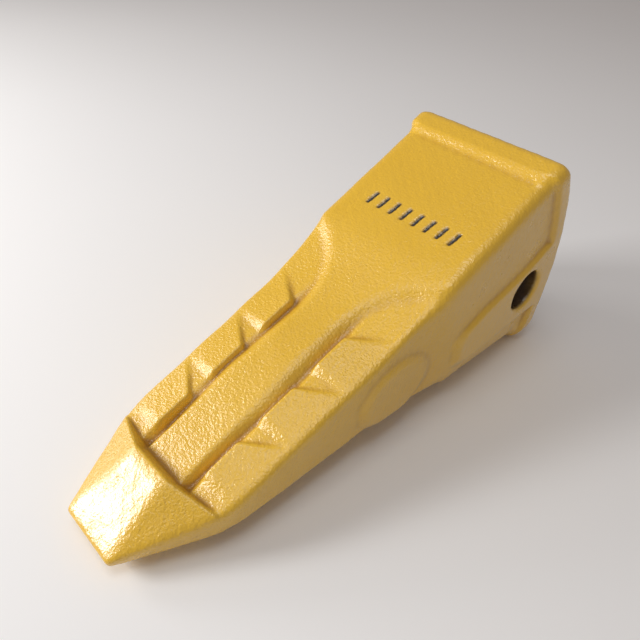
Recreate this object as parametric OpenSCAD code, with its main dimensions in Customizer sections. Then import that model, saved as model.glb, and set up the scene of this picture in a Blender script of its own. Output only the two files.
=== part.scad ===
// Cast bucket tooth with its side pin and snap-ring retainer.
// Drawn along the tooth first: X across, Y from the tip to the rear, Z up from the mid-plane.
// on_floor() then lays the whole tooth on a level floor, with the origin under its middle.

/* [Point] */
// Width of the tip's edge
tip_w = 40; // [30:1:52]
// Thickness of the tip's edge
tip_t = 5; // [3:0.5:9]
// Tip to where the blade reaches its full width
taper_l = 54; // [48:1:62]
// Tip to the rear of the ground facet, where the centre rib starts
facet_l = 41; // [34:1:44]
// Width of the facet at its rear
facet_w = 25; // [18:1:30]

/* [Blade] */
// Blade width behind the taper
blade_w = 92; // [80:1:102]
// Blade width at the neck
neck_w = 98; // [86:1:104]
// Thickness of the outer edge behind the taper
edge_t = 16; // [12:0.5:24]
// Mid-plane to the blade's upper edge at the neck
neck_up = 31.5; // [28:0.5:36]
// Mid-plane to the blade's lower edge at the neck
neck_low = 24.5; // [21:0.5:31]
// Length of the neck's rise to the box's front shoulder
neck_l = 37; // [28:1:46]
// Slope of the groove floor across the blade, mm per mm
floor_slope = 0.05; // [0.02:0.01:0.08]

/* [Rib] */
// Thickness over both ribs at the front
rib_front_t = 36; // [32:0.5:46]
// Width of the rib's crest at the neck
rib_neck_w = 34; // [28:1:38]
// Fall of the rib's flanks, mm per mm
rib_flank = 1.3; // [1:0.1:2.4]
// Length of the flare that joins the rib to the box
flare_l = 36; // [28:1:40]

/* [Pads] */
// Wear pads in each row
pad_count = 3; // [2:1:3]
// Tip to the first pad
pad_front_y = 58; // [56:0.5:62]
// Distance from one pad to the next
pad_pitch = 39; // [34:0.5:40]
// Length of a pad along its inner edge
pad_l = 25; // [20:0.5:29]
// How far the pad's rear edge sweeps back
pad_sweep = 13; // [8:0.5:14]
// Centreline to the pads' inner edges
pad_inner = 21; // [20:0.5:24]
// Outer margin between a pad and the blade's side
pad_margin = 2; // [1:0.5:5]
// Slope of the pad tops across the blade, mm per mm
pad_slope = 0.17; // [0.13:0.01:0.2]

/* [Box] */
// Width of the box around the socket
box_w = 107; // [100:1:116]
// Tip to the box's front shoulder
shoulder_y = 218; // [212:1:228]
// Mid-plane to the roof at the shoulder
shoulder_up = 49; // [46:1:56]
// Mid-plane to the underside at the shoulder
shoulder_low = 42; // [39:1:54]
// Rear edge to the station where the rear heights are taken
rear_in = 13; // [8:1:20]
// Mid-plane to the roof at the rear
rear_up = 72; // [66:1:80]
// Mid-plane to the underside at the rear
rear_low = 64; // [60:1:74]
// How far the lips stand proud of the roof and the underside
lip_h = 3.5; // [2:0.5:4.5]
// Length of the lips and of the rim that joins them
lip_l = 17; // [12:1:22]
// Length over all, from the tip to the rear of the ears
total_l = 328; // [324:1:336]
// Radius of the curved rear edge, seen from the side
rear_r = 170; // [140:5:260]
// Height of the rear edge's rearmost point
rear_mid = 14; // [0:1:20]

/* [Ears] */
// How far the ears and the rim stand out of the box's sides
rim_out = 3.2; // [1.6:0.1:5]
// Box's front shoulder to the front point of an ear
ear_in = 1; // [-6:1:12]
// Height of an ear where it meets the rim
ear_t = 54; // [48:1:60]
// How far the side lugs stand out of the blade
lug_h = 2.5; // [1:0.5:4]
// Tip to the front of a side lug
lug_y = 140; // [130:1:146]
// Length of a side lug
lug_l = 60; // [40:1:64]
// Mid-plane to the top of a side lug
lug_up = 21; // [12:1:24]
// Mid-plane to the bottom of a side lug
lug_low = 28; // [14:1:30]

/* [Socket] */
// Depth of the socket from the rear station
socket_l = 152; // [125:1:158]
// Thickness of the roof and of the floor at the rear station
roof_t = 14; // [11:0.5:18]
// Thickness of the side walls at the rear station
wall_t = 12.5; // [10:0.5:16]
// Height of the seat at the socket's inner end
seat_t = 42; // [30:1:46]
// Width of the seat at the socket's inner end
seat_w = 64; // [50:1:68]

/* [Pin] */
// Ears' rear edge to the pin's axis
pin_back = 36; // [33:0.5:46]
// How far the pin's axis is below the mid-plane
pin_down = 8; // [0:0.5:10]
// Diameter of the retaining pin
pin_d = 26.5; // [22:0.5:29]
// How far the pin's ends sit inside the ears' faces
pin_in = 8.7; // [6:0.1:11]
// Clearance on the pin's diameter in the casting's bores
pin_gap = 1.5; // [0.6:0.1:2]
// Broken edge at the bores' mouths
bore_break = 2; // [0.5:0.1:2.5]
// Chamfer on the pin's ends
pin_chamfer = 3; // [1:0.5:4]
// Depth of the pin's ring groove
groove_d = 1.6; // [1:0.1:2.2]

/* [Retainer] */
// Thickness of the snap ring along the pin
ring_t = 4; // [3:0.2:5]
// Radial thickness of the snap ring
ring_w = 4.5; // [3.5:0.5:6]
// Gap in the snap ring
ring_gap = 9; // [6:0.5:12]
// Outer diameter of the rubber retainer
rubber_d = 46; // [43:0.5:50]
// Thickness of the rubber retainer
rubber_t = 10; // [8:0.5:11]
// Depth of the round seat in the side wall
seat_in = 3; // [2.5:0.5:4]
// Rubber's outer face to the middle of its snap ring
ring_in = 5.3; // [4.5:0.1:6]
// Clearance between the ring and what holds it
ring_fit = 0.3; // [0.2:0.05:0.5]
// Clearance round the rubber and the pin
rubber_fit = 0.5; // [0.3:0.05:0.8]

/* [Marking] */
// Number of plain stamped bars on the top
bar_count = 8; // [0:1:9]
// Distance between the bars
bar_pitch = 9; // [7:0.5:10]
// Length of a bar
bar_l = 10; // [6:0.5:12]
// Width of a bar
bar_w = 2.4; // [1.5:0.1:3.5]
// Depth of a bar
bar_in = 0.8; // [0.4:0.1:1.2]
// Box's front shoulder to the middle of the bars
bar_back = 23; // [18:1:52]

/* [Hidden] */
$fn = 64;
big = 3 * total_l;
join = 1;
step = 0.25; // small step between faces that would otherwise meet in one corner

// stations along the tooth, from the tip
neck_y = shoulder_y - neck_l;
rear_y = total_l - rear_in;
seat_y = rear_y - socket_l;
pin_y = total_l - pin_back;
bar_y = shoulder_y + bar_back;

// outer edges of the blade, as straight lines that the pads and the floors share
edge_spread = (neck_w - blade_w) / 2;
edge_run = neck_y - taper_l;
function along_slope(neck, across) = (neck - edge_t / 2 + across * edge_spread) / edge_run;

// straight slopes of the facet, the rib's crest, the box's roof and its underside
facet_slope = (rib_front_t - tip_t) / 2 / facet_l;
rib_slope = (shoulder_up - rib_front_t / 2) / (shoulder_y - facet_l);
low_rib_slope = (shoulder_low - rib_front_t / 2) / (shoulder_y - facet_l);
roof_slope = (rear_up - shoulder_up) / (rear_y - shoulder_y);
low_slope = (rear_low - shoulder_low) / (rear_y - shoulder_y);
function roof_z(y) = shoulder_up + (y - shoulder_y) * roof_slope;
function low_z(y) = -shoulder_low - (y - shoulder_y) * low_slope;

// bevel plane through the tip's corner, the facet's rear corner and the taper's end
bevel_a = [(facet_w - tip_w) / 2, facet_l, (rib_front_t - tip_t) / 2];
bevel_b = [(blade_w - tip_w) / 2, taper_l, (edge_t - tip_t) / 2];
bevel_n = cross(bevel_a, bevel_b);
bevel_across = -bevel_n[0] / bevel_n[2];
bevel_along = -bevel_n[1] / bevel_n[2];
function flank_along(crest) = crest + rib_flank * (rib_neck_w - facet_w) / 2 / (neck_y - facet_l);

// where a straight line through (y, z) with a slope meets the curved rear edge
rear_cy = total_l - rear_r;
function rear_gap(y, z, slope) = z + slope * (rear_cy - y) - rear_mid;
function rear_end(y, z, slope) = rear_cy + (-rear_gap(y, z, slope) * slope
    + sqrt(rear_r * rear_r * (1 + slope * slope) - pow(rear_gap(y, z, slope), 2))) / (1 + slope * slope);

// slopes of the socket's side, roof and floor
socket_side = (box_w / 2 - wall_t - seat_w / 2) / socket_l;
socket_rise = (rear_up - roof_t - seat_t / 2) / socket_l;
socket_drop = (rear_low - roof_t - seat_t / 2) / socket_l;

// pin, retainer and what holds them, from the middle outwards
wall_x = seat_w / 2 + (pin_y - seat_y) * socket_side;
rim_w = box_w + 2 * rim_out;
pin_l = rim_w - 2 * pin_in;
bore_d = pin_d + pin_gap;
rubber_x = -wall_x - seat_in;
groove_x = rubber_x + ring_in;
ring_id = pin_d - 2 * groove_d + 2 * ring_fit;
ring_od = ring_id + 2 * ring_w;

// the tooth lies on the bottom rib's front end and on the rear of the bottom lip
rest_a = [facet_l, -rib_front_t / 2];
lip_end = rear_end(rear_y, low_z(rear_y) - lip_h, -low_slope);
rest_b = [lip_end, low_z(lip_end) - lip_h];
lie = atan((rest_a[1] - rest_b[1]) / (rest_b[0] - rest_a[0]));
function level_y(p) = p[0] * cos(lie) - p[1] * sin(lie);
function level_z(p) = p[0] * sin(lie) + p[1] * cos(lie);
rear_most = level_y([rear_cy, rear_mid]) + rear_r;
front_most = level_y([0, tip_t / 2]);

module on_floor()
    translate([0, -(front_most + rear_most) / 2, -level_z(rest_b)])
        rotate([lie, 0, 0]) children();

// a side outline, drawn as Y and Z, swept across the tooth
module across(width)
    rotate([90, 0, 90]) linear_extrude(width, center = true) children();

// a plan outline, drawn as X and Y, swept up and down
module upright()
    linear_extrude(big, center = true) children();

module both_sides() {
    children();
    mirror([1, 0, 0]) children();
}

// everything under a plane through a point, with its slopes across and along the tooth
module under(point, slope_x, slope_y) {
    turn_y = -atan(slope_x);
    turn_x = atan(slope_y * cos(turn_y));
    translate(point) rotate([0, turn_y, 0]) rotate([turn_x, 0, 0])
        translate([-big, -big, -big]) cube([2 * big, 2 * big, big]);
}

// under such a plane and its mirror image on the other side
module both_under(point, slope_x, slope_y)
    intersection() {
        under(point, slope_x, slope_y);
        mirror([1, 0, 0]) under(point, slope_x, slope_y);
    }

// the space between four such planes, the same on both sides, with its own slope below
module crowned(point, slope_x, slope_up, slope_low)
    intersection() {
        both_under(point, slope_x, slope_up);
        mirror([0, 0, 1]) both_under(point, slope_x, slope_low);
    }

// the space between the crests of the top and the bottom rib
module between_crests()
    intersection() {
        under([0, facet_l, rib_front_t / 2], 0, rib_slope);
        mirror([0, 0, 1]) under([0, facet_l, rib_front_t / 2], 0, low_rib_slope);
    }

// plan of the blade, running a little way into the point and into the box
module blade_plan() {
    nose_w = tip_w * 1.2;
    nose_y = taper_l / 2;
    polygon([
        [-nose_w / 2, nose_y],
        [nose_w / 2, nose_y],
        [blade_w / 2, taper_l],
        [neck_w / 2, neck_y],
        [neck_w / 2 - 2, neck_y + 6],
        [-neck_w / 2 + 2, neck_y + 6],
        [-neck_w / 2, neck_y],
        [-blade_w / 2, taper_l]
    ]);
}

// chisel point: flat facet, bevelled sides
module point_wedge()
    intersection() {
        upright() polygon([
            [-tip_w / 2, 0],
            [tip_w / 2, 0],
            [blade_w / 2, taper_l],
            [facet_w * 0.8, facet_l + 5],
            [-facet_w * 0.8, facet_l + 5],
            [-blade_w / 2, taper_l]
        ]);
        crowned([0, 0, tip_t / 2], 0, facet_slope, facet_slope);
        between_crests();
        crowned([tip_w / 2, 0, tip_t / 2], bevel_across, bevel_along, bevel_along);
    }

module blade_core()
    intersection() {
        upright() blade_plan();
        crowned([blade_w / 2, taper_l, edge_t / 2 - step], -floor_slope,
            along_slope(neck_up, floor_slope), along_slope(neck_low, floor_slope));
    }

// one wear pad: steep inner corner, swept rear edge, outer edge just inside the blade's side
module pad_outline(y) {
    outer = blade_w / 2 + (y - taper_l) * edge_spread / edge_run - pad_margin;
    polygon([
        [pad_inner, y + 2],
        [pad_inner + 4, y],
        [outer, y + 1],
        [outer, y + pad_l + pad_sweep],
        [(pad_inner + outer) / 2, y + pad_l + pad_sweep * 0.6],
        [pad_inner, y + pad_l]
    ]);
}

module pads()
    intersection() {
        upright() both_sides()
            for (i = [0:pad_count - 1])
                pad_outline(pad_front_y + i * pad_pitch);
        crowned([blade_w / 2, taper_l, edge_t / 2], -pad_slope,
            along_slope(neck_up, pad_slope), along_slope(neck_low, pad_slope));
    }

// centre rib on one face, with sloped flanks under a straight crest
module face_rib(crest)
    intersection() {
        translate([-neck_w / 2, facet_l - join, -join])
            cube([neck_w, neck_y - facet_l + 2 * join, big]);
        under([0, facet_l, rib_front_t / 2], 0, crest);
        under([0, 0, tip_t / 2], 0, facet_slope);
        both_under([facet_w / 2, facet_l, rib_front_t / 2], -rib_flank, flank_along(crest));
    }

module rib() {
    face_rib(rib_slope);
    mirror([0, 0, 1]) face_rib(low_rib_slope);
}

// the rib spreads into the box's roof along a curved outline
module flare() {
    start_y = shoulder_y - flare_l;
    reach = box_w / 2 - rib_neck_w / 2;
    edge = [for (a = [0:15:90]) [rib_neck_w / 2 + reach * (1 - cos(a)), start_y + flare_l * sin(a)]];
    intersection() {
        upright() both_sides() polygon(concat([[0, start_y - join]], edge, [[0, shoulder_y]]));
        between_crests();
    }
}

module box_plan(width, front)
    polygon([
        [-neck_w / 2, neck_y],
        [neck_w / 2, neck_y],
        [width / 2, front],
        [width / 2, total_l],
        [-width / 2, total_l],
        [-width / 2, front]
    ]);

// side outline of the box, closed at the rear by the curved edge
module box_side(proud)
    intersection() {
        polygon([
            [neck_y, -neck_low - proud],
            [neck_y, neck_up + proud],
            [shoulder_y, shoulder_up + proud],
            [total_l, roof_z(total_l) + proud],
            [total_l, low_z(total_l) - proud],
            [shoulder_y, -shoulder_low - proud]
        ]);
        translate([rear_cy, rear_mid]) circle(rear_r, $fn = 180);
    }

module box_block()
    intersection() {
        across(box_w) box_side(0);
        upright() box_plan(box_w, shoulder_y);
    }

// raised lips across the top and bottom, joined down the sides by a rim
module rim()
    across(rim_w) difference() {
        box_side(lip_h);
        translate([rear_cy - lip_l, rear_mid]) circle(rear_r, $fn = 180);
    }

// raised ears round the pin's bores, lower at the front
module ears() {
    ear_front = shoulder_y + ear_in;
    translate([0, 0, -pin_down]) across(rim_w) polygon([
        [ear_front, -ear_t * 0.28],
        [ear_front, ear_t * 0.22],
        [ear_front + 14, ear_t * 0.29],
        [total_l - lip_l - 6, ear_t / 2],
        [total_l - lip_l / 2, ear_t / 2],
        [total_l - lip_l / 2, -ear_t / 2],
        [total_l - lip_l - 6, -ear_t / 2],
        [ear_front + 14, -ear_t * 0.35]
    ]);
}

// low lugs on the blade's sides, ahead of the box
module side_lugs() {
    lug_x = neck_w / 2 + lug_h;
    intersection() {
        across(big) polygon([
            [lug_y, 0],
            [lug_y + lug_l * 0.2, lug_up * 0.8],
            [lug_y + lug_l * 0.5, lug_up],
            [lug_y + lug_l * 0.8, lug_up * 0.7],
            [lug_y + lug_l, -lug_low * 0.25],
            [lug_y + lug_l * 0.8, -lug_low],
            [lug_y + lug_l * 0.2, -lug_low * 0.8]
        ]);
        upright() polygon([
            [-lug_x, lug_y + lug_l],
            [lug_x, lug_y + lug_l],
            [lug_x, lug_y + lug_l * 0.3],
            [blade_w / 2 - join, lug_y - lug_l * 0.1],
            [-blade_w / 2 + join, lug_y - lug_l * 0.1],
            [-lug_x, lug_y + lug_l * 0.3]
        ]);
    }
}

// tapered socket for the adapter's nose
module socket() {
    run = total_l + join - seat_y;
    intersection() {
        across(big) polygon([
            [seat_y, -seat_t / 2],
            [seat_y, seat_t / 2],
            [seat_y + run, seat_t / 2 + run * socket_rise],
            [seat_y + run, -seat_t / 2 - run * socket_drop]
        ]);
        upright() polygon([
            [-seat_w / 2, seat_y],
            [seat_w / 2, seat_y],
            [seat_w / 2 + run * socket_side, seat_y + run],
            [-seat_w / 2 - run * socket_side, seat_y + run]
        ]);
    }
}

module on_pin_axis(x)
    translate([x, pin_y, -pin_down]) rotate([0, 90, 0]) children();

module pin_bores() {
    on_pin_axis(0) cylinder(d = bore_d, h = big, center = true);
    both_sides() on_pin_axis(rim_w / 2 - bore_break)
        cylinder(d1 = bore_d, d2 = bore_d + 4 * bore_break, h = 2 * bore_break);
}

module rubber_seat()
    on_pin_axis(rubber_x)
        cylinder(d = rubber_d + rubber_fit, h = wall_x);

module stamped_bars()
    translate([0, bar_y, roof_z(bar_y)]) rotate([atan(roof_slope), 0, 0])
        for (i = [0:bar_count - 1])
            translate([(i - (bar_count - 1) / 2) * bar_pitch, 0, -bar_in])
                linear_extrude(bar_in + join)
                    square([bar_w, bar_l], center = true);

module tooth_casting()
    color("goldenrod") on_floor() difference() {
        union() {
            point_wedge();
            blade_core();
            pads();
            rib();
            flare();
            box_block();
            rim();
            ears();
            side_lugs();
        }
        socket();
        pin_bores();
        rubber_seat();
        stamped_bars();
    }

module retaining_pin()
    color("dimgray") on_floor() difference() {
        on_pin_axis(-pin_l / 2) union() {
            cylinder(d1 = pin_d - 2 * pin_chamfer, d2 = pin_d, h = pin_chamfer);
            translate([0, 0, pin_chamfer]) cylinder(d = pin_d, h = pin_l - 2 * pin_chamfer);
            translate([0, 0, pin_l - pin_chamfer])
                cylinder(d1 = pin_d, d2 = pin_d - 2 * pin_chamfer, h = pin_chamfer);
        }
        on_pin_axis(groove_x - ring_t / 2 - ring_fit) difference() {
            cylinder(d = 2 * pin_d, h = ring_t + 2 * ring_fit);
            translate([0, 0, -join])
                cylinder(d = pin_d - 2 * groove_d, h = ring_t + 2 * ring_fit + 2 * join);
        }
    }

module snap_ring()
    color("slategray") on_floor() on_pin_axis(groove_x - ring_t / 2) difference() {
        cylinder(d = ring_od, h = ring_t);
        translate([0, 0, -join]) cylinder(d = ring_id, h = ring_t + 2 * join);
        translate([0, -ring_gap / 2, -join]) cube([ring_od, ring_gap, ring_t + 2 * join]);
    }

module retainer_rubber()
    color("black") on_floor() difference() {
        on_pin_axis(rubber_x) cylinder(d = rubber_d, h = rubber_t);
        on_pin_axis(rubber_x - join)
            cylinder(d = pin_d + 2 * rubber_fit, h = rubber_t + 2 * join);
        on_pin_axis(groove_x - ring_t / 2 - ring_fit)
            cylinder(d = ring_od + 2 * rubber_fit, h = ring_t + 2 * ring_fit);
    }

tooth_casting();
retaining_pin();
snap_ring();
retainer_rubber();
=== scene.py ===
"""Bucket tooth: a cast, painted point with its pin, split ring and rubber retainer, lying on a pale floor."""

import math

import bpy
import numpy as np
from mathutils import Matrix, Vector


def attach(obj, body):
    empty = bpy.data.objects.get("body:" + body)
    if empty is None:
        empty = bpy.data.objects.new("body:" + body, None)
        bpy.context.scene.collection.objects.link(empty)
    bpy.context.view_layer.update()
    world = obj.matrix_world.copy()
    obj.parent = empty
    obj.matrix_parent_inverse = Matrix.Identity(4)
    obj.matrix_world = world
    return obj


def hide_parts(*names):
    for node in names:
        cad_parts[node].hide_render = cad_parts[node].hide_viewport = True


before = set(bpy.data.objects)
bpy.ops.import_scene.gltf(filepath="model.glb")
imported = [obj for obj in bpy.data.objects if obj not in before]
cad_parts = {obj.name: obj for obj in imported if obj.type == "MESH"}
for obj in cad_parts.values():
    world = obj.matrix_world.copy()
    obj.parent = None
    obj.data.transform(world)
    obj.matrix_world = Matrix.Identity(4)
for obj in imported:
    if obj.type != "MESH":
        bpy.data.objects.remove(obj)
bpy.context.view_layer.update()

MM = 0.001

# ---------------------------------------------------------------- dimensions, in mm along the tooth
# X is across, Y runs from the tip to the rear, Z is up from the mid-plane.
TIP_HALF, TIP_T = 20.0, 5.0
TAPER_L, FACET_L, FACET_HALF = 54.0, 41.0, 12.5
BLADE_HALF, NECK_HALF, NECK_Y = 46.0, 49.0, 181.0
EDGE_T, NECK_UP, NECK_LOW, FLOOR_SLOPE = 16.0, 31.5, 24.5, 0.05
PAD_COUNT, PAD_Y, PAD_PITCH, PAD_L, PAD_SWEEP = 3, 58.0, 39.0, 25.0, 0.62
PAD_INNER, PAD_MARGIN, PAD_SLOPE = 21.0, 2.5, 0.17
PAD_INNER_RUN, PAD_FRONT_RUN, PAD_REAR_RUN = 3.6, 7.0, 3.2
CHANNEL_IN, CHANNEL_HALF, CHANNEL_END, POCKET_END = 2.6, 18.0, 190.0, 82.0

# centre rib: crest, flanks and the flare that joins it to the box
RIB_FRONT_T, RIB_SLOPE = 36.0, 0.117
CREST_HALF, CREST_GROWTH = 10.6, 0.022
CLIMB_Y, CLIMB_POWER = 150.0, 1.9
FLARE_REACH, FLARE_POWER = 40.0, 3.4
FLANK_FRONT, FLANK_REAR, FLANK_Y, FLANK_RUN = 2.0, 0.9, 115.0, 60.0

# wall behind the point: its place, its sweep and its slope
WALL_IN, WALL_INNER, WALL_SWEEP, WALL_SLOPE = 3.0, 15.0, 0.27, 2.6
POINT_END = 75.0

BOX_HALF, SHOULDER_Y, SHOULDER_UP, SHOULDER_LOW = 53.5, 218.0, 49.0, 42.0
REAR_Y, REAR_UP, REAR_LOW = 315.0, 72.0, 64.0
LIP_H, LIP_L, TOTAL_L, REAR_R, REAR_MID = 3.5, 17.0, 328.0, 170.0, 14.0
RIM_HALF, EAR_Y, EAR_T = 56.7, 219.0, 54.0
LUG_H, LUG_Y, LUG_L, LUG_UP, LUG_LOW = 2.5, 140.0, 60.0, 21.0, 28.0
SOCKET_L, ROOF_T, WALL_T, SEAT_T, SEAT_W = 152.0, 14.0, 12.5, 42.0, 64.0
PIN_BACK, PIN_DOWN, PIN_D, PIN_L, BORE_D = 36.0, 8.0, 26.5, 96.0, 28.0
PIN_CHAMFER, RING_IN, GROOVE_D = 3.0, 5.3, 1.6
RING_T, RING_W, RING_GAP, RING_FIT = 4.0, 4.5, 9.0, 0.3
RUBBER_D, RUBBER_T, SEAT_IN, RUBBER_FIT = 46.0, 10.0, 3.0, 0.5
BAR_COUNT, BAR_PITCH, BAR_L, BAR_W, BAR_IN, BAR_Y, BAR_LEAN = 8, 9.0, 10.0, 2.4, 0.8, 241.0, 0.12

# widths of the soft blends between faces
FACET_BLEND, EDGE_BLEND, TIP_BLEND = 1.4, 1.5, 1.6
CHANNEL_BLEND, CREST_BLEND = 2.5, 3.0
BOX_BLEND, ROOF_BLEND, REAR_BLEND, EAR_BLEND = 8.0, 10.0, 6.0, 6.0
SOCKET_CORNER, SOCKET_END, MOUTH_BLEND = 9.0, 7.0, 4.0

# skin of the sand casting
BROAD_WAVE, FINE_WAVE = 0.07, 0.05
MESH_CELL, QUICK_CELL = 1.1, 2.0
HOLLOW_REACH, QUICK_REACH = 26, 8

FACET_SLOPE = (RIB_FRONT_T - TIP_T) / 2 / FACET_L
EDGE_SPREAD = (NECK_HALF - BLADE_HALF) / (NECK_Y - TAPER_L)
BEVEL_RUN = (FACET_HALF - TIP_HALF) * (TAPER_L / FACET_L)
BEVEL_ACROSS = (TAPER_L * FACET_SLOPE - (EDGE_T - TIP_T) / 2) / (BLADE_HALF - TIP_HALF - BEVEL_RUN)
BEVEL_ALONG = FACET_SLOPE + BEVEL_ACROSS * (FACET_HALF - TIP_HALF) / FACET_L
CLIMB_RUN = SHOULDER_Y - CLIMB_Y
SEAT_Y = REAR_Y - SOCKET_L
PIN_Y = TOTAL_L - PIN_BACK
REAR_CY = TOTAL_L - REAR_R
SOCKET_RISE = (REAR_UP - ROOF_T - SEAT_T / 2) / SOCKET_L
SOCKET_FALL = (REAR_LOW - ROOF_T - SEAT_T / 2) / SOCKET_L
SIDE_TAPER = (BOX_HALF - WALL_T - SEAT_W / 2) / SOCKET_L
WALL_X = SEAT_W / 2 + (PIN_Y - SEAT_Y) * SIDE_TAPER
RUBBER_X = -WALL_X - SEAT_IN
GROOVE_X = RUBBER_X + RING_IN
GROOVE_IN = GROOVE_X + PIN_L / 2
RING_ID = PIN_D - 2 * GROOVE_D + 2 * RING_FIT
RING_OD = RING_ID + 2 * RING_W


# ---------------------------------------------------------------- lying on the floor
def lying():
    """Turn and shift that lay the tooth on its lower rib and lower lip, as the CAD does."""
    slope = -(REAR_LOW - SHOULDER_LOW) / (REAR_Y - SHOULDER_Y)
    gap = -REAR_LOW - LIP_H + slope * (REAR_CY - REAR_Y) - REAR_MID
    lean = 1 + slope * slope
    end = REAR_CY + (-gap * slope + math.sqrt(REAR_R ** 2 * lean - gap * gap)) / lean
    low = -REAR_LOW - LIP_H + slope * (end - REAR_Y)
    tilt = math.atan((-RIB_FRONT_T / 2 - low) / (end - FACET_L))
    c, s = math.cos(tilt), math.sin(tilt)
    rear = REAR_CY * c - REAR_MID * s + REAR_R
    front = -TIP_T / 2 * s
    return tilt, -(front + rear) / 2, -(end * s + low * c)


TILT, SHIFT_Y, SHIFT_Z = lying()
LAY = Matrix.Translation((0, SHIFT_Y * MM, SHIFT_Z * MM)) @ Matrix.Rotation(TILT, 4, "X")


# ---------------------------------------------------------------- smooth shape maths
def smax(a, b, k):
    """The larger of two, with a fillet about k wide where they cross."""
    h = np.maximum(k - np.abs(a - b), 0) / k
    return np.maximum(a, b) + h * h * k / 4


def smin(a, b, k):
    return -smax(-a, -b, k)


def ease(t):
    t = np.clip(t, 0, 1)
    return t * t * (3 - 2 * t)


def rear_inset(y, z):
    """How far a point is inside the curved rear edge."""
    return REAR_R - np.sqrt(np.maximum(y - REAR_CY, 0) ** 2 + (z - REAR_MID) ** 2)


# ---------------------------------------------------------------- top and bottom faces
def pad_share(ax, y, start):
    """1 on one wear pad, 0 off it: soft front, steep inner edge, swept and steep rear edge."""
    out = np.maximum(ax - PAD_INNER, 0)
    inner = ease((ax - PAD_INNER) / PAD_INNER_RUN + 0.5)
    front = ease((y - start + 3.0 - 0.05 * out) / PAD_FRONT_RUN)
    rear = ease((start + PAD_L + PAD_SWEEP * out - y) / PAD_REAR_RUN + 0.25)
    return inner * front * rear


def blade_height(ax, y, neck):
    """Blade floor, the wear pads on it and the channels between them and the rib."""
    edge = EDGE_T / 2 + (y - TAPER_L) * (neck - EDGE_T / 2) / (NECK_Y - TAPER_L)
    outer = BLADE_HALF + (y - TAPER_L) * EDGE_SPREAD
    floor = edge + FLOOR_SLOPE * (outer - ax)
    pad_rise = (PAD_SLOPE - FLOOR_SLOPE) * np.maximum(outer - PAD_MARGIN - ax, 0)
    share = sum(pad_share(ax, y, PAD_Y + i * PAD_PITCH) for i in range(PAD_COUNT))
    along = ease((CHANNEL_END - y) / 30) + 0.5 * ease((POCKET_END - y) / 20)
    channel = CHANNEL_IN * along * ease((CHANNEL_HALF + 6 - ax) / 6)
    return floor - channel * (1 - share) + pad_rise * share


def crest_height(y, shoulder):
    """Crest of the centre rib, which climbs to the roof over its last stretch."""
    climb = np.maximum(y - CLIMB_Y, 0) / CLIMB_RUN
    short = shoulder - RIB_FRONT_T / 2 - (SHOULDER_Y - FACET_L) * RIB_SLOPE
    return RIB_FRONT_T / 2 + (y - FACET_L) * RIB_SLOPE + short * climb ** CLIMB_POWER


def rib_height(ax, y, crest):
    """Nearly flat crest between two sloped flanks, spreading towards the box."""
    climb = np.maximum(y - CLIMB_Y, 0) / CLIMB_RUN
    half = CREST_HALF + CREST_GROWTH * (y - FACET_L) + FLARE_REACH * climb ** FLARE_POWER
    turn = FLARE_REACH / CLIMB_RUN * FLARE_POWER * climb ** (FLARE_POWER - 1)
    flank = FLANK_REAR + (FLANK_FRONT - FLANK_REAR) * ease((FLANK_Y - y) / FLANK_RUN)
    return smin(crest, crest - flank * (ax - half) / np.sqrt(1 + turn ** 2), CREST_BLEND)


def point_height(ax, y, crest):
    """Chisel point: the facet and its side bevels, cut off behind by the wall of the pockets."""
    facet = TIP_T / 2 + y * FACET_SLOPE
    bevel = TIP_T / 2 + BEVEL_ALONG * y - BEVEL_ACROSS * (ax - TIP_HALF)
    point = smin(smin(facet, bevel, FACET_BLEND), crest + 0.3, 2.0)
    wall = FACET_L + WALL_IN + np.maximum(ax - WALL_INNER, 0) * WALL_SWEEP
    return smin(point, point - WALL_SLOPE * (y - wall), CHANNEL_BLEND)


def face_height(x, y, shoulder, rear, neck):
    """Height of the top (or bottom) face over the mid-plane, without the marks."""
    ax = np.sqrt(x * x + 0.25)
    roof = shoulder + (y - SHOULDER_Y) * (rear - shoulder) / (REAR_Y - SHOULDER_Y)
    ramp = neck + (y - NECK_Y) * (shoulder - neck) / (SHOULDER_Y - NECK_Y)
    crest = crest_height(y, shoulder)

    height = smax(blade_height(ax, y, neck), smin(rib_height(ax, y, crest), roof, 4.0), CHANNEL_BLEND)
    height = smax(height, smin(roof, ramp, ROOF_BLEND), BOX_BLEND)
    height = np.where(y > CHANNEL_END, smin(height, roof + 0.25, 1.0), height)
    height = np.where(y < POINT_END, smax(height, point_height(ax, y, crest), CHANNEL_BLEND), height)
    return smin(height, TIP_T / 2 + y * FACET_SLOPE + 0.2, TIP_BLEND), roof


def lip_height(inset):
    """Raised lip along the rear edge."""
    return LIP_H * ease((LIP_L + 6 - inset) / 8)


def top_face(x, y):
    height, roof = face_height(x, y, SHOULDER_UP, REAR_UP, NECK_UP)
    return height + lip_height(rear_inset(y, roof)) - BAR_IN * stamp_mask(x, y)


def low_face(x, y):
    height, floor = face_height(x, y, SHOULDER_LOW, REAR_LOW, NECK_LOW)
    return height + lip_height(rear_inset(y, -floor))


def stamp_mask(x, y):
    """1 inside the row of plain stamped bars."""
    middle = (BAR_COUNT - 1) / 2
    place = np.clip(np.round(x / BAR_PITCH + middle), 0, BAR_COUNT - 1) - middle
    dx = np.abs(x - place * BAR_PITCH - BAR_LEAN * (y - BAR_Y))
    dy = np.abs(y - BAR_Y)
    d = smax(dx - BAR_W / 2, dy - BAR_L / 2, 1.0)
    return ease(0.5 - d / 0.8)


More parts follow.
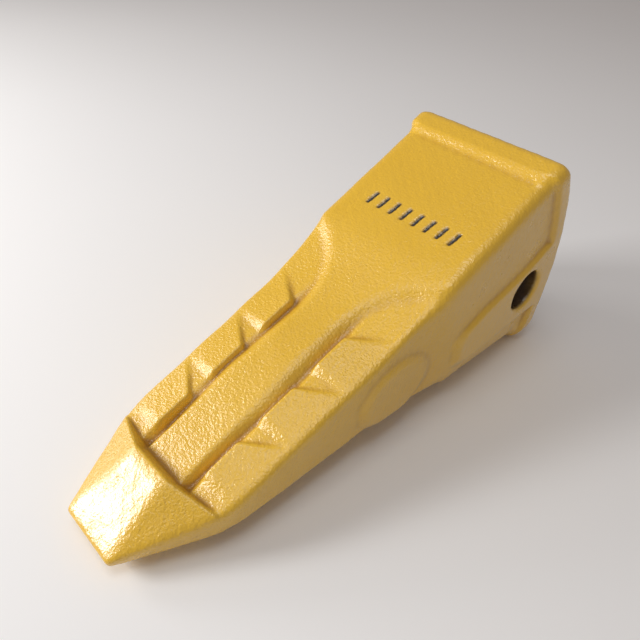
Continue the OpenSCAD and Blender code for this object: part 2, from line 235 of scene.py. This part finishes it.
# ---------------------------------------------------------------- sides
def ear_share(y, z):
    """1 on the ears and the rim, 0 off them."""
    along = (y - EAR_Y) / (TOTAL_L - LIP_L - EAR_Y)
    down = z + PIN_DOWN
    above = down - EAR_T * (0.20 + 0.11 * ease(along * 3) + 0.20 * along ** 3)
    below = -down - EAR_T * (0.3 + 0.2 * along)
    ear = smax(smax(above, below, EAR_BLEND), (EAR_Y - y) * 0.6, 8.0)
    rim = LIP_L + 1.0 - rear_inset(y, z)
    return np.minimum(smax(ease((2.5 - ear) / 6), ease(rim / 6), 0.3), 1.0)


def half_width(y, z):
    """Half width of the side walls, with lugs, ears and rim standing proud."""
    taper = TIP_HALF + y * (BLADE_HALF - TIP_HALF) / TAPER_L
    blade = BLADE_HALF + (y - TAPER_L) * EDGE_SPREAD
    width = smin(taper, blade, 6.0)
    width = width + (BOX_HALF - width) * ease((y - NECK_Y - 2) / (SHOULDER_Y - NECK_Y))

    lug = np.sqrt(((y - LUG_Y - LUG_L / 2) / (LUG_L / 2)) ** 2
                  + ((z - (LUG_UP - LUG_LOW) / 2) / ((LUG_UP + LUG_LOW) / 2)) ** 2)
    width = width + LUG_H * ease((1.0 - lug) / 0.28)
    return width + (RIM_HALF - BOX_HALF) * ear_share(y, z)


# ---------------------------------------------------------------- the casting as a distance field
def slope_of(field, a, b, step=0.4):
    """How steep a height field is, so that its distance can be evened out."""
    da = (field(a + step, b) - field(a - step, b)) / (2 * step)
    db = (field(a, b + step) - field(a, b - step)) / (2 * step)
    return np.sqrt(1 + da * da + db * db)


def socket_walls(x, y, z):
    """How far a point is outside the socket's roof, its floor and its side walls."""
    past = y - SEAT_Y
    roof = (z - SEAT_T / 2 - past * SOCKET_RISE) / math.hypot(1, SOCKET_RISE)
    floor = (-z - SEAT_T / 2 - past * SOCKET_FALL) / math.hypot(1, SOCKET_FALL)
    side = (np.abs(x) - SEAT_W / 2 - past * SIDE_TAPER) / math.hypot(1, SIDE_TAPER)
    return roof, floor, side


def pin_reach(y, z):
    """Distance from the pin's axis."""
    return np.sqrt((y - PIN_Y) ** 2 + (z + PIN_DOWN) ** 2)


def cast_waves(x, y, z):
    """Slight unevenness of a sand casting, always inwards."""
    broad = np.sin(x * 0.21 + 1.3) * np.sin(y * 0.17 + z * 0.09) + np.sin(z * 0.23 + y * 0.11 + 2.0)
    fine = np.sin(x * 0.71 + y * 0.37) * np.sin(y * 0.63 - z * 0.51 + 0.7)
    return BROAD_WAVE * (broad + 2) + FINE_WAVE * (fine + 1)


def casting(x, y, z):
    """Signed distance to the casting's surface, in mm; negative inside the metal."""
    top = (z - top_face(x, y)) / slope_of(top_face, x, y)
    low = (-z - low_face(x, y)) / slope_of(low_face, x, y)
    side = (np.abs(x) - half_width(y, z)) / slope_of(half_width, y, z)

    # edges get rounder from the tip to the box, and are roundest under the box
    edge_blend = 2.0 + 2.5 * ease(y / TAPER_L) + (4.5 + 8.0 * (z < 0)) * ease((y - NECK_Y) / 45)
    body = smax(smax(top, low, EDGE_BLEND), side, edge_blend)
    body = smax(body, -rear_inset(y, z), REAR_BLEND)
    body = smax(body, -y, TIP_BLEND)

    # tapered socket with rounded corners and a softened mouth
    roof, floor, wall = socket_walls(x, y, z)
    socket = smax(smax(smax(roof, floor, 1.0), wall, SOCKET_CORNER), SEAT_Y - y, SOCKET_END)
    body = smax(body, -socket, MOUTH_BLEND)

    # pin bores and the round seat of the rubber retainer
    reach = pin_reach(y, z)
    body = smax(body, BORE_D / 2 - reach, MOUTH_BLEND)
    seat = smax(smax(reach - (RUBBER_D + RUBBER_FIT) / 2, RUBBER_X - x, 0.8), x, 0.8)
    return smax(body, -seat, 1.0) + cast_waves(x, y, z)


# ---------------------------------------------------------------- where the skin looks different
def ground_share(x, y, z):
    """1 on the ground facets of the point, less on the box, 0 on the rough cast skin."""
    gap = np.abs(np.abs(z) - TIP_T / 2 - y * FACET_SLOPE)
    facet = ease((0.9 - gap) / 0.5) * ease((FACET_L - y) / 3) * ease(y / 4)
    return np.maximum(facet, 0.6 * ease((y - 205) / 25))


def bare_and_bore_shade_share(x, y, z):
    """1 inside the bores and the socket, where the paint does not reach; the dark rusty colour there also
    serves as painted shade inside the bores.
    """
    bore = ease((BORE_D / 2 + 0.9 - pin_reach(y, z)) / 0.8) * (np.abs(x) > WALL_X - 4)
    roof, floor, wall = socket_walls(x, y, z)
    within = (wall < 3.5) & (roof < 1.5) & (floor < 1.5) & (y > SEAT_Y - 2)
    return np.maximum(bore, within * ease((rear_inset(y, z) - 4) / 8))


def ink_share(x, y, z):
    """1 where the marks on the roof are filled with black paint."""
    return stamp_mask(x, y) * (z > 20)


# ---------------------------------------------------------------- surface of a distance field
def surface_net(field, low, high, cell):
    """Quad mesh of field = 0: one vertex per crossed cell, one quad per crossed grid edge."""
    axes = [np.arange(a, b + cell, cell, dtype=np.float32) for a, b in zip(low, high)]
    x, y, z = (v.reshape(s) for v, s in zip(axes, ((-1, 1, 1), (1, -1, 1), (1, 1, -1))))
    values = field(x, y, z).astype(np.float32)
    inside = values < 0
    count = tuple(n - 1 for n in values.shape)
    corners = [(i, j, k) for i in (0, 1) for j in (0, 1) for k in (0, 1)]

    def corner(grid, c):
        return grid[c[0]:c[0] + count[0], c[1]:c[1] + count[1], c[2]:c[2] + count[2]]

    full = np.zeros(count, np.int8)
    for c in corners:
        full += corner(inside, c)
    cells = np.argwhere((full > 0) & (full < 8))
    index = -np.ones(count, np.int32)
    index[tuple(cells.T)] = np.arange(len(cells))

    total = np.zeros((len(cells), 3))
    hits = np.zeros(len(cells))
    at = {c: values[tuple((cells + c).T)] for c in corners}
    for a in corners:
        for axis in range(3):
            if a[axis]:
                continue
            b = tuple(1 if n == axis else a[n] for n in range(3))
            crossed = (at[a] < 0) != (at[b] < 0)
            share = np.where(crossed, at[a] / np.where(crossed, at[a] - at[b], 1), 0)
            spot = np.tile(np.array(a, float), (len(cells), 1))
            spot[:, axis] = share
            total += spot * crossed[:, None]
            hits += crossed
    points = (cells + total / hits[:, None]) * cell + np.array(low)

    quads = []
    for axis in range(3):
        u, v = (axis + 1) % 3, (axis + 2) % 3
        ahead = np.roll(inside, -1, axis)
        crossed = inside != ahead
        trim = [slice(1, -1)] * 3
        trim[axis] = slice(0, -1)
        spots = np.argwhere(crossed[tuple(trim)]) + [0 if n == axis else 1 for n in range(3)]
        ring = []
        for du, dv in ((0, 0), (1, 0), (1, 1), (0, 1)):
            step = np.zeros(3, int)
            step[u], step[v] = -du, -dv
            ring.append(index[tuple((spots + step).T)])
        quad = np.stack(ring, 1)
        outward = inside[tuple(spots.T)]
        quad[~outward] = quad[~outward][:, ::-1]
        quads.append(quad)
    return points, np.concatenate(quads)


def gradient(field, points, step=0.3):
    x, y, z = points.T
    return np.stack([
        field(x + step, y, z) - field(x - step, y, z),
        field(x, y + step, z) - field(x, y - step, z),
        field(x, y, z + step) - field(x, y, z - step),
    ], 1) / (2 * step)


def settle(field, points, rounds=3):
    """Moves points onto field = 0 along its gradient."""
    for _ in range(rounds):
        slope = gradient(field, points)
        size = np.maximum((slope ** 2).sum(1), 0.05)
        move = np.clip(field(*points.T) / size, -0.6, 0.6)
        points = points - slope * move[:, None]
    return points


def hollows(field, points, quads, reach):
    """How far the surface dips below its own smoothed shape, in mm; negative on ridges."""
    ends = np.concatenate([quads[:, [i, (i + 1) % 4]] for i in range(4)])
    pairs = np.concatenate([ends, ends[:, ::-1]])
    count = np.bincount(pairs[:, 0], minlength=len(points))
    smooth = points.copy()
    for _ in range(reach):
        mean = np.stack([np.bincount(pairs[:, 0], smooth[pairs[:, 1], n], len(points)) for n in range(3)], 1)
        smooth = (smooth + mean / count[:, None]) / 2
    slope = gradient(field, points)
    normal = slope / np.linalg.norm(slope, axis=1)[:, None]
    return ((smooth - points) * normal).sum(1)


def new_mesh(name, points, faces, material):
    """Smooth-shaded mesh object, from points in mm along the tooth, laid on the floor."""
    mesh = bpy.data.meshes.new(name)
    mesh.from_pydata([tuple(p) for p in np.asarray(points) * MM], [], [tuple(f) for f in faces])
    mesh.transform(LAY)
    mesh.validate()
    mesh.shade_smooth()
    mesh.materials.append(material)
    piece = bpy.data.objects.new(name, mesh)
    bpy.context.scene.collection.objects.link(piece)
    return piece


# ---------------------------------------------------------------- materials
class Nodes:
    """Short hand for building one material's node tree."""

    def __init__(self, name):
        self.material = bpy.data.materials.new(name)
        self.material.use_nodes = True
        self.tree = self.material.node_tree
        self.shader = self.tree.nodes["Principled BSDF"]
        self.place = self.add("ShaderNodeTexCoord").outputs["Object"]

    def add(self, kind, **values):
        node = self.tree.nodes.new(kind)
        for key, value in values.items():
            if key in node.inputs:
                node.inputs[key].default_value = value
            else:
                setattr(node, key, value)
        return node

    def link(self, source, target):
        self.tree.links.new(source, target)

    def noise(self, scale, detail=3.0, rough=0.5):
        node = self.add("ShaderNodeTexNoise", Scale=scale, Detail=detail, Roughness=rough)
        self.link(self.place, node.inputs["Vector"])
        return node.outputs["Fac"]

    def ramp(self, source, stops):
        node = self.add("ShaderNodeValToRGB")
        while len(node.color_ramp.elements) < len(stops):
            node.color_ramp.elements.new(0.5)
        for element, (at, colour) in zip(node.color_ramp.elements, stops):
            element.position = at
            element.color = (*colour, 1) if len(colour) == 3 else colour
        self.link(source, node.inputs["Fac"])
        return node.outputs["Color"]

    def mix(self, factor, a, b, mode="MIX"):
        node = self.add("ShaderNodeMix", data_type="RGBA", blend_type=mode)
        for value, socket in ((factor, node.inputs[0]), (a, node.inputs[6]), (b, node.inputs[7])):
            if isinstance(value, (int, float, tuple)):
                socket.default_value = value
            else:
                self.link(value, socket)
        return node.outputs[2]

    def maths(self, operation, a, b=0.0):
        node = self.add("ShaderNodeMath", operation=operation)
        for value, socket in ((a, node.inputs[0]), (b, node.inputs[1])):
            if isinstance(value, (int, float)):
                socket.default_value = value
            else:
                self.link(value, socket)
        return node.outputs[0]

    def attribute(self, name):
        node = self.add("ShaderNodeAttribute", attribute_name=name)
        return node.outputs["Fac"]

    def bump(self, height, strength, distance, before=None):
        node = self.add("ShaderNodeBump", Distance=distance)
        if isinstance(strength, float):
            node.inputs["Strength"].default_value = strength
        else:
            self.link(strength, node.inputs["Strength"])
        self.link(height, node.inputs["Height"])
        if before is not None:
            self.link(before, node.inputs["Normal"])
        return node.outputs["Normal"]


def grey(v):
    return (v, v, v)


def yellow_paint():
    """Satin paint over rough cast skin, with painted shade darkening it in hollows and creases; dark rusty
    brown where it is unpainted, also serving as painted shade inside the bores.
    """
    n = Nodes("yellow_paint_on_casting")
    tone = n.ramp(n.noise(9, 4), [(0.3, (0.77, 0.455, 0.022)), (0.7, (0.81, 0.49, 0.03))])
    speck = n.ramp(n.noise(420, 2), [(0.26, (0.62, 0.40, 0.10)), (0.36, grey(1.0))])
    painted_crease_shade = (0.40, 0.175, 0.012, 1)
    black = (0.012, 0.011, 0.010, 1)
    # dark rusty colour of the unpainted bores and socket, kept this dark also as painted shade inside the
    # deep bores
    rust_and_bore_shade = n.ramp(n.noise(55, 4), [(0.3, (0.060, 0.034, 0.018)), (0.7, (0.110, 0.065, 0.038))])
    # painted shade: the deeper a hollow, the more its paint turns orange-brown, standing in for shade and
    # bounced light in creases
    crease_shade_share = n.ramp(n.attribute("hollow"), [(0.06, grey(0.0)), (0.75, grey(1.0))])
    colour = n.mix(0.18, tone, speck, "MULTIPLY")
    colour = n.mix(n.maths("MULTIPLY", crease_shade_share, 0.85), colour, painted_crease_shade)
    colour = n.mix(n.attribute("ink"), colour, black)
    colour = n.mix(n.attribute("bare_and_bore_shade"), colour, rust_and_bore_shade)
    n.link(colour, n.shader.inputs["Base Color"])

    ground = n.attribute("ground")
    gloss = n.ramp(n.noise(60, 3), [(0.3, grey(0.30)), (0.7, grey(0.42))])
    n.link(n.mix(ground, gloss, (0.24, 0.24, 0.24, 1)), n.shader.inputs["Roughness"])
    n.shader.inputs["Specular IOR Level"].default_value = 0.6
    n.shader.inputs["Coat Weight"].default_value = 0.8
    n.shader.inputs["Coat Roughness"].default_value = 0.26

    skin = n.bump(n.noise(40, 3, 0.5), 0.4, 0.0010)
    skin = n.bump(n.noise(170, 3, 0.55), 0.3, 0.0005, skin)
    grain_share = n.maths("SUBTRACT", 0.85, n.maths("MULTIPLY", ground, 0.5525))
    skin = n.bump(n.noise(640, 2, 0.55), grain_share, 0.0006, skin)
    n.link(skin, n.shader.inputs["Normal"])
    n.link(skin, n.shader.inputs["Coat Normal"])
    return n.material


def turned_steel(name, dark, light, rough):
    n = Nodes(name)
    stretch = n.add("ShaderNodeMapping")
    stretch.inputs["Scale"].default_value = (40, 1, 1)
    n.link(n.place, stretch.inputs["Vector"])
    lines = n.add("ShaderNodeTexNoise", Scale=60.0, Detail=4.0)
    n.link(stretch.outputs["Vector"], lines.inputs["Vector"])
    stain = n.ramp(n.noise(45, 5), [(0.35, dark), (0.7, light)])
    n.link(stain, n.shader.inputs["Base Color"])
    n.shader.inputs["Metallic"].default_value = 1.0
    gloss = n.ramp(lines.outputs["Fac"], [(0.3, grey(rough)), (0.7, grey(rough + 0.18))])
    n.link(gloss, n.shader.inputs["Roughness"])
    n.link(n.bump(lines.outputs["Fac"], 0.25, 0.0002), n.shader.inputs["Normal"])
    return n.material


def black_rubber():
    n = Nodes("moulded_rubber")
    bloom = n.ramp(n.noise(30, 4), [(0.35, grey(0.012)), (0.75, grey(0.035))])
    n.link(bloom, n.shader.inputs["Base Color"])
    gloss = n.ramp(n.noise(90, 3), [(0.3, grey(0.62)), (0.7, grey(0.8))])
    n.link(gloss, n.shader.inputs["Roughness"])
    n.link(n.bump(n.noise(900, 2), 0.3, 0.0002), n.shader.inputs["Normal"])
    return n.material


def floor_paper():
    n = Nodes("pale_floor")
    n.link(n.ramp(n.noise(2, 2), [(0.3, grey(0.90)), (0.7, grey(0.92))]), n.shader.inputs["Base Color"])
    n.shader.inputs["Roughness"].default_value = 0.8
    return n.material


# ---------------------------------------------------------------- pieces
def mark(piece, name, values):
    """Stores one number per vertex, for the material to read."""
    layer = piece.data.attributes.new(name, "FLOAT", "POINT")
    layer.data.foreach_set("value", values.astype(np.float32))


def make_casting():
    cell, reach = ((MESH_CELL, HOLLOW_REACH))
    margin = 2.5 * cell
    end = LIP_H + 6 + margin
    low = (-RIM_HALF - margin, -margin, -REAR_LOW - end)
    high = (RIM_HALF + margin, TOTAL_L + margin, REAR_UP + end)
    points, quads = surface_net(casting, low, high, cell)
    points = settle(casting, points)
    piece = new_mesh("cast_tooth", points, quads, yellow_paint())
    mark(piece, "ink", ink_share(*points.T))
    # unpainted inside: a dark rusty colour that also serves as painted shade in the bores
    mark(piece, "bare_and_bore_shade", bare_and_bore_shade_share(*points.T))
    mark(piece, "ground", ground_share(*points.T))
    # the hollow depth drives the painted crease shade of the paint
    mark(piece, "hollow", hollows(casting, points, quads, reach))
    return piece


def lathe(name, outline, x, material, steps=96, start=0.0, end=360.0):
    """Solid turned round the pin's axis from (along, radius) points; open angles get end caps."""
    closed = end - start >= 360
    rows = steps if closed else steps + 1
    angles = np.radians(np.linspace(start, end, rows, endpoint=not closed))
    outline = np.array(outline, float)
    points = np.concatenate([
        np.stack([x + outline[:, 0], PIN_Y + outline[:, 1] * math.cos(a),
                  outline[:, 1] * math.sin(a) - PIN_DOWN], 1) for a in angles])
    n = len(outline)
    faces = []
    for r in range(rows if closed else rows - 1):
        a, b = r * n, ((r + 1) % rows) * n
        for i in range(n):
            j = (i + 1) % n
            faces.append((a + i, a + j, b + j, b + i))
    if not closed:
        faces.append(tuple(range(n))[::-1])
        faces.append(tuple((rows - 1) * n + i for i in range(n)))
    return new_mesh(name, points, faces, material)


def rounded(corners, radius, steps=4):
    """Closed outline with its corners rounded by short arcs."""
    out = []
    count = len(corners)
    for i, corner in enumerate(corners):
        corner = np.array(corner, float)
        before = np.array(corners[i - 1], float) - corner
        after = np.array(corners[(i + 1) % count], float) - corner
        reach = min(radius, np.hypot(*before) * 0.45, np.hypot(*after) * 0.45)
        a = corner + before / np.hypot(*before) * reach
        b = corner + after / np.hypot(*after) * reach
        for t in np.linspace(0, 1, steps):
            out.append(tuple((1 - t) ** 2 * a + 2 * t * (1 - t) * corner + t * t * b))
    return out


def make_pin(material):
    r, end = PIN_D / 2, PIN_L
    tip = r - PIN_CHAMFER
    half = RING_T / 2 + RING_FIT
    outline = [(0, 0.01), (0, tip), (PIN_CHAMFER, r), (GROOVE_IN - half, r),
               (GROOVE_IN - half, r - GROOVE_D), (GROOVE_IN + half, r - GROOVE_D),
               (GROOVE_IN + half, r), (end - PIN_CHAMFER, r), (end, tip), (end, 0.01)]
    return lathe("cross_pin", rounded(outline, 0.6), -PIN_L / 2, material)


def make_ring(material):
    half = math.degrees(math.asin(RING_GAP / RING_OD))
    outline = [(-RING_T / 2, RING_ID / 2), (-RING_T / 2, RING_OD / 2),
               (RING_T / 2, RING_OD / 2), (RING_T / 2, RING_ID / 2)]
    return lathe("split_ring", rounded(outline, 0.7), GROOVE_X, material,
                 start=half, end=360 - half)


def make_rubber(material):
    bore = PIN_D / 2 + RUBBER_FIT
    pocket = RING_OD / 2 + RUBBER_FIT
    middle = GROOVE_X - RUBBER_X
    half = RING_T / 2 + RING_FIT
    outline = [(0, bore), (0, RUBBER_D / 2), (RUBBER_T, RUBBER_D / 2), (RUBBER_T, bore),
               (middle + half, bore), (middle + half, pocket),
               (middle - half, pocket), (middle - half, bore)]
    return lathe("rubber_lock", rounded(outline, 0.9), RUBBER_X, material)


# ---------------------------------------------------------------- stage
def make_floor():
    size = 3.0
    mesh = bpy.data.meshes.new("floor")
    corners = [(-size, -size, 0), (size, -size, 0), (size, size, 0), (-size, size, 0)]
    mesh.from_pydata(corners, [], [(0, 1, 2, 3)])
    mesh.materials.append(floor_paper())
    floor = bpy.data.objects.new("floor", mesh)
    floor.location.z = -0.0003
    bpy.context.scene.collection.objects.link(floor)


def soft_light(name, direction, distance, size, power, colour=(1, 1, 1)):
    """Square softbox looking at the tooth's middle from a direction given along the tooth."""
    light = bpy.data.lights.new(name, "AREA")
    light.shape, light.size, light.energy, light.color = "SQUARE", size, power, colour
    lamp = bpy.data.objects.new(name, light)
    bpy.context.scene.collection.objects.link(lamp)
    target = LAY @ Vector((0, 150 * MM, 20 * MM))
    aim = (LAY.to_3x3() @ Vector(direction)).normalized()
    lamp.location = target + aim * distance
    lamp.rotation_euler = aim.to_track_quat("Z", "Y").to_euler()


def make_lights():
    soft_light("key", (-0.58, -0.60, 0.56), 1.2, 0.36, 8.6)
    soft_light("left_box", (-0.80, -0.30, 0.36), 1.3, 0.36, 3.5, (1.0, 0.99, 0.97))
    soft_light("overhead", (0.04, 0.0, 1.0), 1.5, 0.7, 5.0, (0.97, 0.99, 1.0))
    world = bpy.data.worlds.new("studio")
    bpy.context.scene.world = world
    world.use_nodes = True
    back = world.node_tree.nodes["Background"]
    back.inputs["Color"].default_value = (1.0, 0.89, 0.84, 1)
    back.inputs["Strength"].default_value = 0.29
    view = bpy.context.scene.view_settings
    view.view_transform = "Standard"
    view.look = "None"


def make_camera():
    """Above the right side of the tip, turned a little about its own axis."""
    azimuth, elevation, roll = math.radians(51.2), math.radians(46.86), math.radians(6.66)
    place = Vector((185.24, 13.14, 281.26))
    back = Vector((math.sin(azimuth) * math.cos(elevation),
                   -math.cos(azimuth) * math.cos(elevation), math.sin(elevation)))
    forward = -back
    right = forward.cross(Vector((0, 0, 1))).normalized()
    down = forward.cross(right)
    across = right * math.cos(roll) + down * math.sin(roll)
    drop = down * math.cos(roll) - right * math.sin(roll)
    turn = Matrix((across, -drop, back)).transposed()
    data = bpy.data.cameras.new("camera")
    data.sensor_width, data.lens = 36.0, 34.19
    camera = bpy.data.objects.new("camera", data)
    bpy.context.scene.collection.objects.link(camera)
    camera.matrix_world = LAY @ Matrix.Translation(place * MM) @ turn.to_4x4()
    bpy.context.scene.camera = camera


# ---------------------------------------------------------------- assembly
make_camera()
make_floor()
make_lights()

casting_piece = make_casting()
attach(casting_piece, "tooth")
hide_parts("tooth_casting")

pin_piece = make_pin(turned_steel("turned_pin_steel", grey(0.16), grey(0.34), 0.30))
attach(pin_piece, "pin")
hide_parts("retaining_pin")

ring_piece = make_ring(turned_steel("blued_spring_steel", (0.05, 0.055, 0.07), (0.12, 0.13, 0.16), 0.26))
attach(ring_piece, "ring")
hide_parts("snap_ring")

rubber_piece = make_rubber(black_rubber())
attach(rubber_piece, "tooth")
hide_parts("retainer_rubber")
